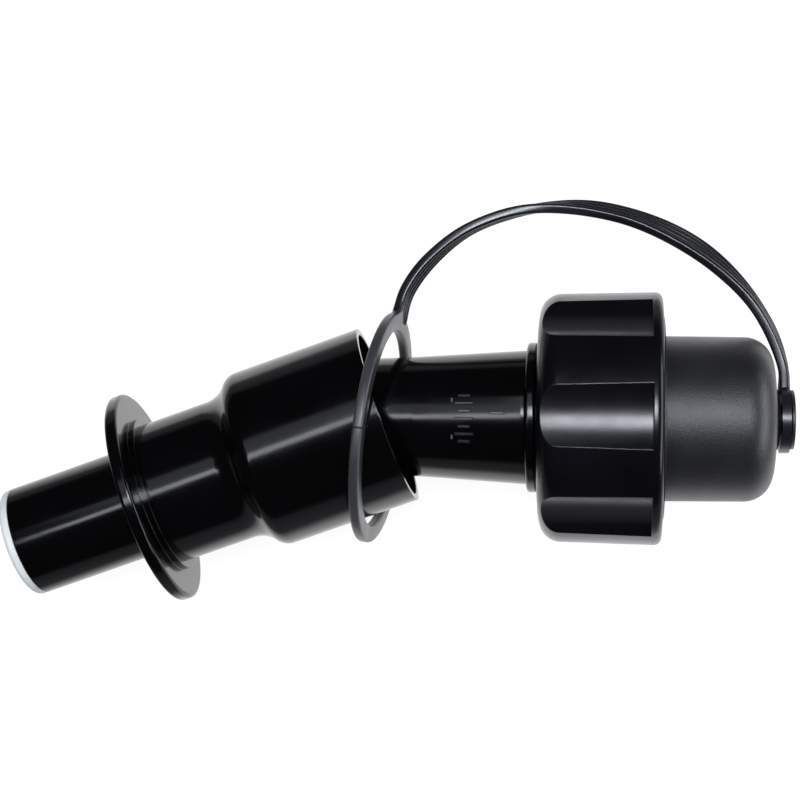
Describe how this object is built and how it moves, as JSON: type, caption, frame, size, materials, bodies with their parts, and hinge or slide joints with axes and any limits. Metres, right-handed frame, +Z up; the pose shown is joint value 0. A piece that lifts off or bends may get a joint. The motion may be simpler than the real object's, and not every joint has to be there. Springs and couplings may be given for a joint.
{
  "type": "pouring spout",
  "caption": "Bent anti-spill pouring spout with a spring-loaded sliding sleeve, white valve head, captive union nut and a screw cap held by a moulded strap.",
  "frame": {"origin": "centre of the union nut's open mouth, on the neck's axis", "axes": "+X along the neck's axis out of the nut, the way the can's neck or the cap leaves; +Y the side the strap arches over; +Z up, square to the plane of the bend"},
  "size_m": [0.1476, 0.0761, 0.0464],
  "materials": {
    "black_gloss": "moulded glossy black acetal",
    "black_nut": "semi-gloss black with a fine moulded texture",
    "black_matte": "fine-grain matte black",
    "black_strap": "flexible semi-gloss black",
    "natural_white": "natural translucent white",
    "seal_rubber": "smooth moulded nitrile",
    "grey_gasket": "flat sheet gasket",
    "spring_steel": "drawn stainless wire"
  },
  "bodies": {
    "spout": {"spout_body": "black_gloss", "spring_seat": "black_gloss", "sleeve_seal": "seal_rubber", "nut_retaining_ring": "black_gloss", "neck_gasket": "grey_gasket", "rod_spider": "natural_white", "valve_rod": "spring_steel", "rod_nut": "spring_steel", "valve_head": "natural_white", "valve_seal": "seal_rubber", "vent_tube": "natural_white", "vent_cage": "black_gloss", "vent_ball": "spring_steel", "return_spring": "spring_steel", "tether_strap": "black_strap"},
    "sleeve": {"sliding_sleeve": "black_gloss", "tip_tube": "black_gloss", "tether_ring": "black_strap"},
    "nut": {"union_nut": "black_nut"},
    "cap_seal": {"cap_gasket": "grey_gasket"},
    "screw_cap": {"cap": "black_matte"},
    "tether_end": {"tether_eye": "black_strap"}
  },
  "joints": [
    {"name": "sleeve_slide", "type": "slide", "parent": "spout", "child": "sleeve", "axis": [0.9397, 0.342, 0], "range_m": [0, 0.006], "stiffness_N_per_m": 600, "springref_m": -0.012, "deforming": ["return_spring", "tether_strap"]},
    {"name": "nut_spin", "type": "hinge", "parent": "spout", "child": "nut", "pos_m": [0, 0, 0], "axis": [1, 0, 0], "continuous": true},
    {"name": "cap_rise", "type": "slide", "parent": "nut", "child": "cap_seal", "axis": [1, 0, 0], "range_m": [0, 0.0101]},
    {"name": "cap_turn", "type": "hinge", "parent": "cap_seal", "child": "screw_cap", "pos_m": [0, 0, 0], "axis": [1, 0, 0], "range_deg": [0, 900]},
    {"name": "eye_rise", "type": "slide", "parent": "spout", "child": "tether_end", "axis": [1, 0, 0], "range_m": [0, 0.0101], "deforming": ["tether_strap"]}
  ],
  "couplings": [
    {"joint": "cap_rise", "follows": "cap_turn", "m_per_rad": 0.00063662},
    {"joint": "eye_rise", "follows": "cap_turn", "m_per_rad": 0.00063662}
  ]
}
